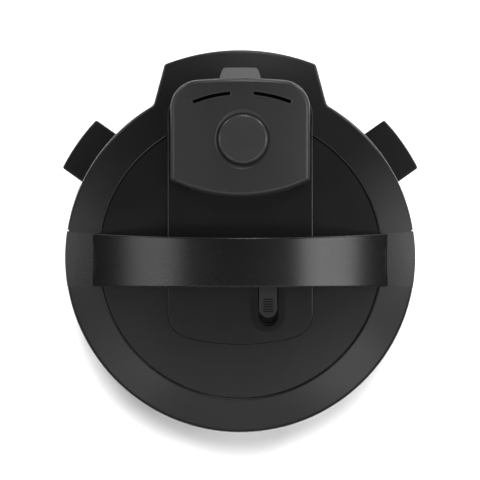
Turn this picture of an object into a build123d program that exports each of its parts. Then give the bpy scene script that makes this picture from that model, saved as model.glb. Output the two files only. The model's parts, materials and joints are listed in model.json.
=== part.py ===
from build123d import *
import math
import os

# Electric pressure cooker with a hinged, locking lid.
# Millimetres, +Z up, +Y towards the hinge at the rear, +X to the right seen from the front.
# The origin is on the pot's axis, on the surface that the cooker stands on.

# ---------------------------------------------------------------- driving dimensions
# Cooking pot and the steel shell that holds it
pot_radius = 112.0
pot_height = 166.0
pot_wall = 1.5
pot_corner = 14.0
pot_rim_width = 7.0
pot_rim_height = 3.5
heat_gap = 2.5
support_wall = 1.2
support_floor_z = 50.0
heater_radius = 95.0
heater_foot_height = 4.0
heater_thickness = 14.8
heater_bore = 17.0
heater_foot_outer = 70.0
heater_foot_inner = 60.0
heater_edge = 3.0
sensor_radius = 14.0
sensor_cap_height = 7.7
sensor_stem_radius = 4.0
sensor_stem_gap = 0.6
sensor_gap = 0.3
sensor_spring_radius = 7.5
sensor_spring_wire = 1.4
sensor_spring_room = 0.1
switch_x = 52.0
switch_half_length = 12.0
switch_half_width = 9.0
switch_height = 15.0
fuse_x = -53.0
fuse_radius = 3.0
fuse_half_length = 9.0

# Bayonet lock between the steel shell and the lid
tooth_count = 8
tooth_angle = 20.0
flange_width = 7.3
flange_thickness = 2.5
flange_tooth_length = 13.0
lock_play = 0.6
lock_tooth_gap = 3.5
lock_tooth_thickness = 3.0
lock_ring_gap = 9.0
lock_ring_wall = 3.0
lock_ring_rise = 12.0
lock_offset = 26.2
slider_travel = 8.5

# Base casing
foot_height = 6.0
foot_ring_radius = 112.0
foot_ring_width = 8.0
pan_height = 32.0
pan_wall = 3.0
casing_wall = 2.0
rim_wall = 3.5
rim_gap = 3.5
rim_floor_thickness = 3.0
rim_depth = 22.0
casing_inset = 5.0
pillar_height = 9.0
pillar_radius = 4.0
pan_screw_reach = 125.0
pan_vent_pitch = 12.0
pan_vent_width = 4.0
board_half_width = 46.0
board_front = 34.0
board_rear = 96.0
board_thickness = 1.6

# Screws
screw_radius = 2.0
screw_head_radius = 4.0
screw_head_height = 2.4
handle_screw_inset = 17.0
lug_screw_spacing = 36.0
bracket_screw_spacing = 48.0

# Lid shell
lid_gap = 2.0
lid_overhang = 10.0
lid_wall = 2.8
lid_height = 40.0
roof_radius = 700.0
lid_edge = 3.0
ring_width = 32.6
disc_seat = 6.0
seat_wall = 2.4
disc_step = 3.0
seam = 0.4
groove_width = 1.2
groove_depth = 1.6
disc_drop = 1.0
dome_rise = 6.0
ring_inner_edge = 1.8

# Rear extension of the lid and the hinge under it
tail_reach = 30.7
tail_half_width = 71.5
tail_flare = 10.0
tail_corner = 4.0
tail_blend = 8.0
hinge_inset = 21.7
hinge_drop = 6.0
hinge_pin_radius = 3.5
knuckle_radius = 8.0
hinge_fit = 0.05
hinge_pin_half = 60.0
inner_knuckle_start = 24.0
inner_knuckle_end = 35.0
lid_knuckle_start = 36.0
lid_knuckle_end = 48.0
outer_knuckle_start = 49.0
outer_knuckle_end = 58.0
hinge_plate_thickness = 2.5
bracket_depth = 6.0

# Raised centre panel of the lid
panel_half_width = 68.5
panel_lift = 2.5
panel_rear = 159.0
panel_front = 82.0
panel_front_corner = 23.6
panel_rear_corner = 27.0
panel_edge = 1.2

# Lift-off steam cover and the button through it
cover_half_width = 65.6
cover_front = 56.5
cover_front_sag = 15.0
cover_rear = 168.0
cover_rear_sag = 4.2
cover_rear_corner = 26.4
cover_front_corner = 5.5
cover_height = 12.5
cover_wall = 2.5
cover_crown_radius = 420.0
cover_gap = 0.4
cover_edge = 4.6
cover_border = 5.0
dish_width = 4.7
dish_depth = 1.5
button_x = 2.6
button_y = 110.7
button_radius = 23.6
button_gap = 0.35
button_proud = 3.0
button_crown = 1.2
button_edge = 3.0
vent_radius = 125.6
vent_centre_y = 28.6
vent_width = 3.2
tab_base = 21.7
tab_tip = 16.0
tab_length = 10.0
tab_corner = 4.0
vent_start_angle = 5.5
vent_end_angle = 20.9
vent_centre_x = 1.6

# Valve chamber
well_half_width = 46.0
well_front = 66.0
well_rear = 136.0
tray_wall = 2.0
tray_drop = 18.0
valve_y = 84.0
valve_pipe_radius = 4.0
float_x = -34.0
float_hole_radius = 3.4
float_pin_radius = 3.0
lever_half_width = 3.0
lever_pin_radius = 1.5
lever_pivot_y = 96.0

# Lid lock slider
slider_x = 26.2
slider_width = 17.0
slider_front = 56.4
slider_length = 34.0
slider_gap = 1.25
rib_pitch = 2.3
rib_groove = 1.1
rib_depth = 1.4
slot_front = 64.9
slot_rear = 16.0
bezel_border = 5.15
bezel_lift = 1.0
bezel_foot = 3.0

# Band handle over the lid
band_shoulder_lift = 1.0
band_foot_depth = 2.4
band_foot_proud = 0.4
band_rise = 41.0
band_thickness = 8.0
band_core_thickness = 6.0
band_front = 27.8
band_rear_end = 24.5
band_rear_middle = 18.5
band_shoulder = 137.0
band_core_inset = 3.0
band_edge = 1.5
band_slit_width = 1.0
band_slit_front = 21.5
band_slit_rear = 8.7

# Carry handles
lug_angle = 35.1
lug_width = 56.2
lug_reach = 24.9
lug_height = 16.0
lug_drop = 4.0
lug_wall = 3.0
lug_corner = 2.5
lug_edge = 2.0

# Rear housing, drip cup and power inlet
rear_half_width = 62.0
rear_depth = 6.0
rear_floor_z = 46.0
rear_wall = 2.5
rear_corner = 12.0
cup_half_width = 27.5
cup_height = 46.0
cup_floor_z = 140.0
cup_wall = 2.0
cup_gap = 0.6
cup_overhang = 12.0
inlet_half_width = 15.0
inlet_height = 24.0
inlet_z = 84.0

# Control panel
panel_box_half = 52.0
panel_box_low = 70.0
panel_box_height = 120.0
panel_face_proud = 1.0
panel_box_depth = 17.0
panel_box_wall = 2.5
panel_box_edge = 2.0
control_board_depth = 9.0
window_half_width = 24.0
window_height = 54.0
key_width = 18.0
key_height = 10.0
key_gap = 0.3
key_flange = 1.5
key_proud = 1.2
key_column = 37.0
key_pitch = 26.0

# ---------------------------------------------------------------- sizes that follow
support_radius = pot_radius + heat_gap + support_wall
flange_radius = support_radius + flange_width
flange_tip = flange_radius + flange_tooth_length
lock_tooth_radius = flange_radius + lock_tooth_gap
lock_ring_radius = flange_tip + lock_ring_gap + lock_ring_wall
rim_inner = lock_ring_radius + rim_gap
rim_radius = rim_inner + rim_wall
casing_radius = rim_radius - casing_inset
lid_radius = rim_radius + lid_overhang
disc_radius = lid_radius - ring_width
tail_radius = lid_radius + tail_reach
lug_radius = lid_radius + lug_reach
hinge_y = tail_radius - hinge_inset

heater_top = support_floor_z + support_wall + heater_foot_height + heater_thickness
pot_rim_top = heater_top + pot_height
flange_top = pot_rim_top - pot_rim_height
flange_low = flange_top - flange_thickness
lid_low = pot_rim_top + 4.0
rim_top = lid_low - lid_gap
rim_low = rim_top - rim_depth
hinge_z = lid_low - hinge_drop
ring_top = lid_low + lid_height
disc_low = ring_top - disc_step
crown_z = ring_top - disc_drop + dome_rise
dome_radius = (disc_radius**2 + dome_rise**2) / (2 * dome_rise)
rear_top = hinge_z - knuckle_radius - 4.0
rear_face = hinge_y + rear_depth
tray_low = lid_low + tray_drop
cover_top = crown_z + panel_lift + cover_height
roof_centre_z = ring_top - math.sqrt(roof_radius**2 - disc_radius**2)
handle_screw_seat = ring_top - 16.0
band_top = crown_z + band_rise
band_shoulder_z = roof_centre_z + math.sqrt(roof_radius**2 - band_shoulder**2) + band_shoulder_lift
band_arch_height = band_top - band_shoulder_z
band_arch_radius = (band_arch_height**2 + band_shoulder**2) / (2 * band_arch_height)
band_centre_z = band_top - band_arch_radius
plate_low = pot_rim_top + 6.0
lock_top = lid_low + lock_ring_rise
panel_face = casing_radius + panel_face_proud


# ---------------------------------------------------------------- helpers
def tube(outer, inner, low, high, x=0.0, y=0.0):
    """An upright tube, or a plain cylinder when inner is 0."""
    body = Cylinder(outer, high - low, align=(Align.CENTER, Align.CENTER, Align.MIN))
    if inner > 0:
        body -= Cylinder(inner, high - low, align=(Align.CENTER, Align.CENTER, Align.MIN))
    return Pos(x, y, low) * body


def block(x0, x1, y0, y1, z0, z1):
    """A box between two corners."""
    low = (Align.MIN, Align.MIN, Align.MIN)
    return Pos(x0, y0, z0) * Box(x1 - x0, y1 - y0, z1 - z0, align=low)


def rod_x(radius, x0, x1, y, z):
    """A round bar along X."""
    bar = Cylinder(radius, x1 - x0, align=(Align.CENTER, Align.CENTER, Align.MIN))
    return Pos(x0, y, z) * (Rot(0, 90, 0) * bar)


def turned(edges):
    """Revolve a closed outline of (radius, height) edges about the cooker's axis."""
    return revolve(make_face(Plane.XZ * Wire(edges)), Axis.Z)


def polygon_turned(points):
    """Revolve a straight-sided outline about the cooker's axis."""
    return turned(Polyline(*points, close=True).edges())


def sector(outer, inner, low, high, centre_angle, width_angle):
    """A piece of a flat ring, centred on an angle."""
    full = tube(outer, inner, low, high)
    reach = outer * 1.6
    half = math.radians(width_angle / 2)
    wedge = Polyline(
        (0, 0),
        (reach * math.cos(half), -reach * math.sin(half)),
        (reach * math.cos(half), reach * math.sin(half)),
        close=True,
    )
    cut = Pos(0, 0, low) * extrude(make_face(wedge), high - low)
    return full & (Rot(0, 0, centre_angle) * cut)


def ball(radius, top):
    """A ball whose highest point is at top, its seam kept away from there."""
    return Pos(0, 0, top - radius) * (Rot(90, 0, 0) * Sphere(radius))


def dome_solid(lift, radius, low):
    """The lid's shallow dome, raised by lift, cut off at a radius and a height."""
    return tube(radius, 0, low, crown_z + lift + 1) & ball(dome_radius, crown_z + lift)


def roof_height(radius):
    """Height of the lid ring's top surface, a shallow ball, at a radius."""
    return roof_centre_z + math.sqrt(roof_radius**2 - radius**2)


def lid_plan(inset):
    """Outline of the ring with the rear extension, seen from above."""
    rear = tail_radius - inset
    half = tail_half_width - inset
    corner_y = math.sqrt(rear**2 - half**2)
    front_y = lid_radius * 0.74
    flare = tail_flare * (corner_y - front_y) / 38.0
    outline = Wire([
        ThreePointArc((-half, corner_y), (0, rear), (half, corner_y)),
        Line((half, corner_y), (half + flare, front_y)),
        Line((half + flare, front_y), (-half - flare, front_y)),
        Line((-half - flare, front_y), (-half, corner_y)),
    ])
    tail = make_face(outline)
    tail = fillet(tail.vertices().sort_by(Axis.Y)[-2:], max(tail_corner - inset, 1.0))
    plan = Sketch() + [Circle(lid_radius - inset), tail]
    joins = plan.vertices().filter_by(lambda spot: lid_radius * 0.8 < spot.Y < lid_radius * 0.95)
    return fillet(joins, tail_blend)


def lid_form(inset):
    """The lid cover's outer form, or the hollow inside it when inset is the wall."""
    base = lid_low - (1.0 if inset > 0 else 0.0)
    body = Pos(0, 0, base) * extrude(lid_plan(inset), lid_height + 30)
    return body & ball(roof_radius, roof_height(0) - inset)


def stadium(half_width, front, rear, low, high, x):
    """An upright block with round ends, long along Y."""
    length = rear - front
    plan = SlotOverall(length, 2 * half_width, rotation=90)
    return Pos(x, (front + rear) / 2, low) * extrude(plan, high - low)


def coil(radius, wire, low, high, turns):
    """A round-wire coil spring about Z."""
    pitch = (high - low - wire) / turns
    path = Helix(pitch=pitch, height=high - low - wire, radius=radius)
    start = Plane(origin=path @ 0, z_dir=path % 0)
    return Pos(0, 0, low + wire / 2) * sweep(start * Circle(wire / 2), path=path, is_frenet=True)


# ---------------------------------------------------------------- pot, heater and steel shell
def inner_pot():
    """Drawn steel cooking pot with a flat rim."""
    floor = heater_top
    inner = pot_radius - pot_wall
    body = tube(pot_radius, 0, floor, flange_top)
    body = fillet(body.edges().group_by(Axis.Z)[0], pot_corner)
    hollow = tube(inner, 0, floor + pot_wall, pot_rim_top + 1)
    hollow = fillet(hollow.edges().group_by(Axis.Z)[0], pot_corner - pot_wall)
    rim = tube(pot_radius + pot_rim_width, 0, flange_top, pot_rim_top)
    rim = fillet(rim.edges().group_by(Axis.Z)[-1], pot_rim_height * 0.4)
    return body + rim - hollow


def support_pot():
    """Deep steel shell round the pot, with the fixed half of the bayonet at its top."""
    shell = tube(support_radius, 0, support_floor_z, flange_top)
    shell += tube(flange_radius, 0, flange_low, flange_top)
    for index in range(tooth_count):
        angle = index * 360.0 / tooth_count
        shell += sector(flange_tip, flange_radius - 1, flange_low, flange_top, angle, tooth_angle)
    shell -= tube(support_radius - support_wall, 0, support_floor_z + support_wall, flange_top + 1)
    stem_hole = sensor_stem_radius + sensor_stem_gap
    shell -= tube(stem_hole, 0, support_floor_z - 1, support_floor_z + support_wall + 1)
    return shell


def heating_plate():
    """Cast aluminium hot plate on a ring foot, with a hole for the sensor."""
    low = support_floor_z + support_wall
    plate = tube(heater_radius, heater_bore, low + heater_foot_height, heater_top)
    plate = fillet(plate.edges().group_by(Axis.Z)[-1].sort_by(SortBy.RADIUS)[-1], heater_edge)
    return plate + tube(heater_foot_outer, heater_foot_inner, low, low + heater_foot_height)


def temperature_sensor():
    """Sprung sensor cap that presses on the pot's underside."""
    cap_top = heater_top - sensor_gap
    cap_low = cap_top - sensor_cap_height
    cap = tube(sensor_radius, 0, cap_low, cap_top)
    cap = fillet(cap.edges().group_by(Axis.Z)[-1], 1.5)
    return cap + tube(sensor_stem_radius, 0, support_floor_z - 6.0, cap_low + 1)


def sensor_spring():
    """Compression spring under the sensor cap."""
    low = support_floor_z + support_wall + 0.4
    high = heater_top - sensor_gap - sensor_cap_height - sensor_spring_room
    return coil(sensor_spring_radius, sensor_spring_wire, low, high, 4)


def pressure_switch():
    """Switch box on the underside of the steel shell."""
    end = switch_x + switch_half_length
    half = switch_half_width
    low = support_floor_z - switch_height
    body = block(switch_x - switch_half_length, end, -half, half, low, support_floor_z)
    tab_z = low + switch_height * 0.35
    for y in (-5.0, 5.0):
        body += block(end, end + 6, y - 1, y + 1, tab_z, tab_z + 1)
    return body


def thermal_fuse():
    """Thermal cut-out clamped under the steel shell."""
    low = support_floor_z - 2 * fuse_radius
    half = fuse_half_length
    can = rod_x(fuse_radius, fuse_x - half, fuse_x + half, 0, support_floor_z - fuse_radius)
    return can + block(fuse_x - 3, fuse_x + 3, -half, half, low - 1, low + 0.5)


# ---------------------------------------------------------------- base casing
def board_corners():
    """Where the power board's pillars stand."""
    x = board_half_width - 6
    return [(-x, board_front + 6), (x, board_front + 6), (-x, board_rear - 6), (x, board_rear - 6)]


def screw_spots():
    """Where the base pan's screws go."""
    spots = []
    for angle in (45, 135, 225, 315):
        turn = math.radians(angle)
        spots.append((pan_screw_reach * math.cos(turn), pan_screw_reach * math.sin(turn)))
    return spots


def base_pan():
    """Moulded bottom of the casing with the ring that it stands on."""
    inner_foot = foot_ring_radius - foot_ring_width
    side = casing_radius
    inside = side - pan_wall
    floor = foot_height + pan_wall
    bend = side - 18.0
    pan = turned([
        Line((0, foot_height), (inner_foot, foot_height)),
        Line((inner_foot, foot_height), (inner_foot, 0)),
        Line((inner_foot, 0), (foot_ring_radius, 0)),
        Line((foot_ring_radius, 0), (foot_ring_radius, foot_height)),
        Line((foot_ring_radius, foot_height), (bend, foot_height)),
        ThreePointArc((bend, foot_height), (side - 5.0, foot_height + 7.0), (side, pan_height - 4.0)),
        Line((side, pan_height - 4.0), (side, pan_height)),
        Line((side, pan_height), (inside, pan_height)),
        Line((inside, pan_height), (inside, pan_height - 4.0)),
        ThreePointArc((inside, pan_height - 4.0), (inside - 4.5, floor + 6.0), (bend, floor)),
        Line((bend, floor), (0, floor)),
        Line((0, floor), (0, foot_height)),
    ])
    for x, y in board_corners():
        pan += tube(pillar_radius, 0, floor, floor + pillar_height, x, y)
    for x, y in screw_spots():
        pan += tube(pillar_radius + 2, 0, floor, floor + pillar_height + 3, x, y)
        pan -= tube(screw_radius, 0, foot_height - 1, floor + pillar_height, x, y)
    half_vent = pan_vent_width / 2
    for index in range(-4, 5):
        x = index * pan_vent_pitch
        pan -= block(x - half_vent, x + half_vent, -70, -30, foot_height - 1, floor + 1)
    return pan


def outer_housing():
    """Cylindrical side wall with openings for the panel, the drip cup and the inlet."""
    shell = tube(casing_radius, casing_radius - casing_wall, pan_height, rim_low)
    half = panel_box_half
    panel_high = panel_box_low + panel_box_height
    shell -= block(-half, half, -casing_radius - 5, 0, panel_box_low, panel_high)
    cup = cup_half_width + cup_gap
    cup_top = cup_floor_z + cup_height
    shell -= block(-cup, cup, 0, casing_radius + 5, cup_floor_z - cup_gap, cup_top + cup_gap)
    low = inlet_z - inlet_height / 2
    high = inlet_z + inlet_height / 2
    shell -= block(-inlet_half_width, inlet_half_width, 0, casing_radius + 5, low, high)
    return shell


def top_rim():
    """Collar on the casing with the moat that the lock ring turns in."""
    seat_inner = support_radius + 1.3
    seat_outer = seat_inner + 2.5
    floor = rim_low + rim_floor_thickness
    rim = polygon_turned([
        (seat_inner, rim_low),
        (rim_radius, rim_low),
        (rim_radius, rim_top),
        (rim_inner, rim_top),
        (rim_inner, floor),
        (seat_outer, floor),
        (seat_outer, flange_low),
        (seat_inner, flange_low),
    ])
    outside = rim.edges().filter_by(GeomType.CIRCLE)
    top_edge = outside.group_by(Axis.Z)[-1].sort_by(SortBy.RADIUS)[-1]
    return fillet(top_edge, 2.0)


def rear_form(inset):
    """The rear box's outer form, or the hollow inside it when inset is the wall."""
    start = casing_radius * 0.66
    half = rear_half_width - inset
    plan = Rectangle(2 * half, rear_face - inset - start, align=(Align.CENTER, Align.MIN))
    plan = fillet(plan.vertices().sort_by(Axis.Y)[-2:], rear_corner - inset)
    height = rear_top - rear_floor_z - 2 * inset
    return Pos(0, start, rear_floor_z + inset) * extrude(plan, height)


def rear_housing():
    """Box behind the casing that carries the hinge, the drip cup and the inlet."""
    body = rear_form(0)
    body -= rear_form(rear_wall)
    shelf = cup_half_width + 4
    shelf_low = cup_floor_z - 3.0
    body += block(-shelf, shelf, casing_radius - 12, rear_face - 1, shelf_low, shelf_low + 2.5)
    body -= tube(casing_radius, 0, 0, rear_top + 1)
    body -= tube(rim_radius, 0, rim_low, rear_top + 1)
    cup = cup_half_width + cup_gap
    cup_top = cup_floor_z + cup_height
    body -= block(-cup, cup, rear_face - 6, rear_face + 1, cup_floor_z - cup_gap, cup_top + cup_gap)
    low = inlet_z - inlet_height / 2
    high = low + inlet_height
    body -= block(-inlet_half_width, inlet_half_width, rear_face - 6, rear_face + 1, low, high)
    return body


def power_inlet():
    """Recessed appliance inlet in the rear housing."""
    low = inlet_z - inlet_height / 2
    high = inlet_z + inlet_height / 2
    half = inlet_half_width
    body = block(-half, half, rear_face - 20, rear_face, low, high)
    body += block(-half - 4, half + 4, rear_face, rear_face + 2, low - 3, high + 3)
    body -= block(-half + 3, half - 3, rear_face - 16, rear_face + 3, low + 4, high - 4)
    return body


def inlet_pins():
    """Three flat contact pins in the inlet."""
    pins = []
    for x in (-7.0, 0.0, 7.0):
        z = inlet_z + (2.5 if x == 0 else -2.5)
        pins.append(block(x - 1, x + 1, rear_face - 16, rear_face - 4, z - 2, z + 2))
    return Compound(children=pins)


def condensation_cup():
    """Drip cup that pulls out to the rear."""
    front = casing_radius + 4.0
    rear = rear_face + cup_overhang
    top = cup_floor_z + cup_height
    body = block(-cup_half_width, cup_half_width, front, rear, cup_floor_z, top)
    body = fillet(body.edges().filter_by(Axis.Z), 5.0)
    body = fillet(body.faces().sort_by(Axis.Z)[0].edges(), 1.5)
    body -= block(
        -cup_half_width + cup_wall, cup_half_width - cup_wall,
        front + cup_wall, rear - cup_wall, cup_floor_z + cup_wall, top + 1,
    )
    return body


def hinge_bracket():
    """Pressed steel bracket on the rear housing with the fixed knuckles."""
    plate_top = rear_top + hinge_plate_thickness
    half = outer_knuckle_end
    bracket = block(-half, half, hinge_y - 16, rear_face - 1, rear_top, plate_top)
    bracket -= tube(rim_radius + 0.5, 0, rear_top - 1, plate_top + 1)
    inner = (inner_knuckle_start, inner_knuckle_end)
    outer = (outer_knuckle_start, outer_knuckle_end)
    for x0, x1 in both_sides(inner) + both_sides(outer):
        web = block(x0, x1, hinge_y - 6, hinge_y + 5, plate_top - 1, hinge_z)
        bracket += web + rod_x(knuckle_radius, x0, x1, hinge_y, hinge_z)
    return bracket - rod_x(hinge_pin_radius, -hinge_pin_half, hinge_pin_half, hinge_y, hinge_z)


def both_sides(span):
    """A span of x on the right and the same span on the left."""
    start, end = span
    return [(start, end), (-end, -start)]


def hinge_pin():
    """Steel pin through all the knuckles."""
    return rod_x(hinge_pin_radius, -hinge_pin_half, hinge_pin_half, hinge_y, hinge_z)


def hinge_springs():
    """Two torsion springs round the pin that balance the lid."""
    springs = []
    length = inner_knuckle_start - 4.0
    for x in (-length - 2.0, 2.0):
        wound = coil(hinge_pin_radius + 2.1, 1.8, 0, length, 7)
        springs.append(Pos(x, hinge_y, hinge_z) * (Rot(0, 90, 0) * wound))
    return Compound(children=springs)


def carry_handle(side):
    """Hollow lug that sticks out under the lid's edge."""
    top = rim_low - lug_drop
    low = top - lug_height
    lug = block(casing_radius - 20, lug_radius + 5, -lug_width / 2, lug_width / 2, low, top)
    lug &= tube(lug_radius, casing_radius, low, top)
    lug = fillet(lug.edges().filter_by(Axis.Z).sort_by(Axis.X)[-2:], lug_corner)
    lug = fillet(lug.faces().sort_by(Axis.Z)[-1].edges().sort_by(Axis.X)[-1], lug_edge)
    half = lug_width / 2 - lug_wall
    inner = block(casing_radius - 20, lug_radius, -half, half, low - 1, top - lug_wall)
    inner &= tube(lug_radius - lug_wall, casing_radius + 2 * lug_wall, low - 1, top - lug_wall)
    lug -= inner
    angle = lug_angle if side == "right" else 180 - lug_angle
    bore_end = casing_radius + 2 * lug_wall - 1
    for spot in (-lug_screw_spacing / 2, lug_screw_spacing / 2):
        lug -= rod_x(screw_radius, casing_radius - 15, bore_end, spot, low + lug_height / 2)
    return Rot(0, 0, angle) * lug


def screw(seat, end, x, y):
    """An upright screw with its head below the seat and its shank up to the end."""
    head = tube(screw_head_radius, 0, seat - screw_head_height, seat, x, y)
    return head + tube(screw_radius, 0, seat, end, x, y)


def casing_screws():
    """Four screws up through the base pan and two into each carry handle."""
    screws = []
    for x, y in screw_spots():
        end = foot_height + pan_wall + pillar_height
        screws.append(screw(foot_height, end, x, y))
    z = rim_low - lug_drop - lug_height / 2
    for angle in (lug_angle, 180 - lug_angle):
        for spot in (-lug_screw_spacing / 2, lug_screw_spacing / 2):
            shaft = rod_x(screw_radius, casing_radius, casing_radius + 2 * lug_wall - 1, spot, z)
            screws.append(Rot(0, 0, angle) * shaft)
    return Compound(children=screws)


# ---------------------------------------------------------------- controls
def key_places():
    """Name, x and height of each push key on the panel."""
    middle = panel_box_low + panel_box_height / 2
    places = []
    for side, x in (("left", -key_column), ("right", key_column)):
        for row in (1, 2, 3):
            places.append((f"{side}_key_{row}", x, middle + (2 - row) * key_pitch))
    places.append(("start_key", 0.0, panel_box_low + 16.0))
    return places


def control_panel():
    """Flat-faced panel moulding with holes for the window and the keys."""
    low = panel_box_low
    high = panel_box_low + panel_box_height
    half = panel_box_half
    wall = panel_box_wall
    body = block(-half, half, -panel_face, -panel_face + panel_box_depth, low, high)
    body = fillet(body.faces().sort_by(Axis.Y)[0].edges(), panel_box_edge)
    body -= block(-half + wall, half - wall, -panel_face + wall, 0, low + wall, high - wall)
    middle = (low + high) / 2
    outside = -panel_face - 1
    body -= upright_plate(window_half_width, window_height / 2, outside, 0, 0, middle)
    hole_x = key_width / 2 + key_gap
    hole_z = key_height / 2 + key_gap
    for name, x, z in key_places():
        body -= upright_plate(hole_x, hole_z, outside, -panel_face + wall + 1, x, z)
    return body


def upright_plate(half_width, half_height, y0, y1, x, z):
    """A plate that faces the front, centred on an x and a height."""
    return block(x - half_width, x + half_width, y0, y1, z - half_height, z + half_height)


def panel_key(x, z):
    """One push key with a retaining flange behind the panel's face."""
    face = -panel_face - key_proud
    back = -panel_face + panel_box_wall + key_gap
    cap = upright_plate(key_width / 2, key_height / 2, face, back + 1, x, z)
    cap = fillet(cap.edges().group_by(Axis.Y)[0], 0.8)
    lip = key_flange
    flange = upright_plate(key_width / 2 + lip, key_height / 2 + lip, back, back + lip, x, z)
    return cap + flange


def display_window():
    """Clear window in the panel's face."""
    middle = panel_box_low + panel_box_height / 2
    face = -panel_face + 0.3
    back = -panel_face + panel_box_wall
    return upright_plate(window_half_width, window_height / 2, face, back, 0, middle)


def display_module():
    """Display block behind the window, on the control board."""
    middle = panel_box_low + panel_box_height / 2
    front = -panel_face + panel_box_wall + 0.5
    half_width = window_half_width - 3.0
    half_height = window_height / 2 - 5.0
    return upright_plate(half_width, half_height, front, -panel_face + control_board_depth, 0, middle)


def control_board():
    """Circuit board behind the keys."""
    middle = panel_box_low + panel_box_height / 2
    front = -panel_face + control_board_depth
    half_width = panel_box_half - 4
    half_height = panel_box_height / 2 - 4
    return upright_plate(half_width, half_height, front, front + board_thickness, 0, middle)


def power_board():
    """Power circuit board with its relay, transformer and capacitor."""
    low = foot_height + pan_wall + pillar_height
    top = low + board_thickness
    board = block(-board_half_width, board_half_width, board_front, board_rear, low, top)
    board += block(-40, -12, board_front + 8, board_front + 32, top, top + 20)
    board += block(4, 22, board_front + 10, board_front + 28, top, top + 15)
    board += tube(6.0, 0, top, top + 18, 34, board_rear - 16)
    board += tube(5.0, 0, top, top + 14, -30, board_rear - 14)
    return board


# ---------------------------------------------------------------- lid shell
def band_screw_spots():
    """Where the handle's screws come up through the lid."""
    x = lid_radius - handle_screw_inset
    return [(-x, -12.0), (-x, 8.0), (x, -12.0), (x, 8.0)]


def well_block(gap, low, high):
    """The rectangular valve well, made smaller by a gap."""
    half = well_half_width - gap
    return block(-half, half, well_front + gap, well_rear - gap, low, high)


def lid_outside():
    """The lid cover's whole outer form with its upper edge rounded."""
    form = lid_form(0)
    low_rim = lid_low + 1
    upper = form.edges().filter_by(lambda edge: edge.bounding_box().min.Z > low_rim)
    form = fillet(upper.filter_by(lambda edge: edge.length > 1.0), lid_edge)
    return form - tube(disc_radius, 0, disc_low, ring_top + 30)


def is_inner_rim(edge):
    """Whether an edge is the upper rim of the ring's hole for the disc."""
    if edge.geom_type != GeomType.CIRCLE or abs(edge.radius - disc_radius) > 0.01:
        return False
    return edge.center().Z > ring_top - 0.1


def roof_ball(drop):
    """The ball that shapes the ring's top surface, lowered by a drop."""
    return ball(roof_radius, roof_height(0) - drop)


def foot_region():
    """The upright space over the ring that the band's two feet take up."""
    region = Pos(0, 0, disc_low - 8) * extrude(band_plan(), 20)
    region &= tube(lid_radius + 1, 0, disc_low - 10, ring_top + 20)
    return region - block(-band_shoulder, band_shoulder, -100, 100, disc_low - 10, ring_top + 20)


def lid_cover():
    """Moulded outer ring of the lid, in one piece with the rear extension."""
    shell = lid_outside()
    shell -= lid_form(lid_wall)
    shell += tube(disc_radius + seat_wall, disc_radius - disc_seat, disc_low - seat_wall, disc_low)
    shell += tube(disc_radius + seat_wall, disc_radius, disc_low - 1, ring_top - 1)
    shell = fillet(shell.edges().filter_by(is_inner_rim), ring_inner_edge)
    pocket_floor = (foot_region() & roof_ball(lid_wall)) - roof_ball(2 * lid_wall)
    shell += pocket_floor & tube(lid_radius, 0, lid_low, 400)
    for x, y in band_screw_spots():
        top = roof_height(lid_radius - handle_screw_inset)
        shell += tube(pillar_radius + 1, 0, handle_screw_seat, top - lid_wall / 2, x, y)
        shell -= tube(screw_radius, 0, handle_screw_seat - 1, ring_top + 5.0, x, y)
    shell -= foot_region() - roof_ball(band_foot_depth)
    shell -= well_block(0, lid_low + 2, ring_top + 10)
    groove_y = band_rear_end + 0.2
    groove_start = disc_radius - disc_seat
    for x0, x1 in both_sides((groove_start, lid_radius + 5)):
        groove = block(x0, x1, groove_y, groove_y + groove_width, 0, 400)
        shell -= groove - lid_form(groove_depth)
    return shell


def top_disc():
    """Domed disc inside the ring."""
    disc = dome_solid(0, disc_radius - seam, disc_low)
    disc -= well_block(0, disc_low - 1, crown_z + 10)
    disc -= slider_slot(0)
    return disc


def slider_slot(gap):
    """The long opening that the slider's neck moves in, through disc and panel."""
    return stadium(9.0 - gap, -slot_front + 2, -slot_rear - 2, disc_low - 2, crown_z + 20, slider_x)


def panel_plan():
    """Outline of the raised centre panel, seen from above."""
    half = panel_half_width
    straight_front = panel_front - 12.0
    outline = Wire([
        Line((half, panel_rear), (-half, panel_rear)),
        Line((-half, panel_rear), (-half, -straight_front)),
        ThreePointArc((-half, -straight_front), (0, -panel_front), (half, -straight_front)),
        Line((half, -straight_front), (half, panel_rear)),
    ])
    plan = make_face(outline)
    plan = fillet(plan.vertices().sort_by(Axis.Y)[:2], panel_front_corner)
    return fillet(plan.vertices().sort_by(Axis.Y)[-2:], panel_rear_corner)


def spine_panel():
    """Raised centre panel from the rear of the lid to in front of the handle."""
    low = roof_height(tail_radius)
    body = Pos(0, 0, low) * extrude(panel_plan(), 60)
    body &= dome_solid(panel_lift, lid_radius + 10, low)
    body -= dome_solid(0, disc_radius, low - 1)
    body -= lid_outside()
    body = fillet(panel_top_edges(body), panel_edge)
    body -= well_block(0, low - 5, crown_z + 20)
    cut = slider_width / 2 + slider_gap + bezel_foot
    body -= stadium(cut, -slot_front, -slot_rear, low, crown_z + 20, slider_x)
    return body


def panel_top_edges(body):
    """The edges round the panel's upper face."""
    return body.faces().sort_by(Axis.Z)[-1].outer_wire().edges()


def slider_bezel():
    """Stadium-shaped frame round the slider."""
    half = slider_width / 2 + slider_gap
    outer = half + bezel_border
    top = crown_z + panel_lift + bezel_lift
    front = -slot_front
    rear = -slot_rear
    body = stadium(outer, front - bezel_border, rear + bezel_border, crown_z - 4, top, slider_x)
    body -= dome_solid(panel_lift, disc_radius, crown_z - 10)
    foot = half + bezel_foot - 0.1
    body += stadium(foot, front + 0.1, rear - 0.1, crown_z + 0.3, crown_z + panel_lift, slider_x)
    body -= stadium(half, front, rear, crown_z - 5, top + 1, slider_x)
    return body


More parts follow.
